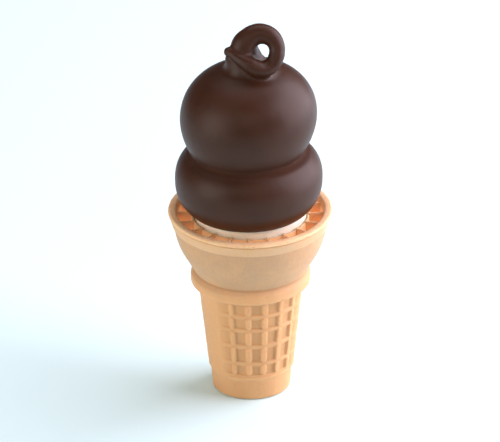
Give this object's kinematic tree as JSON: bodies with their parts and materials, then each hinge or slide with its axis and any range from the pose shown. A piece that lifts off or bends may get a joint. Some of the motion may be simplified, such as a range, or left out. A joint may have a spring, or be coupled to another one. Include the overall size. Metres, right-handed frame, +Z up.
{
  "type": "ice cream cone",
  "caption": "Soft ice cream in two stacked lobes under a dark coat with a curled tip, in a flat-bottomed moulded wafer cone.",
  "frame": {"origin": "centre of the cone's flat base, on the surface that it stands on", "axes": "+Z up along the cone's axis; the curl's tail crosses the front, which is -Y; the curl's loop is on the right, +X"},
  "size_m": [0.0648, 0.065, 0.1585],
  "materials": {
    "wafer": "matt baked wafer, golden tan",
    "ice_cream": "smooth, soft cream",
    "chocolate": "satin dark coat"
  },
  "bodies": {
    "root": {"cone": "wafer", "ice_cream": "ice_cream", "chocolate": "chocolate"}
  },
  "joints": []
}
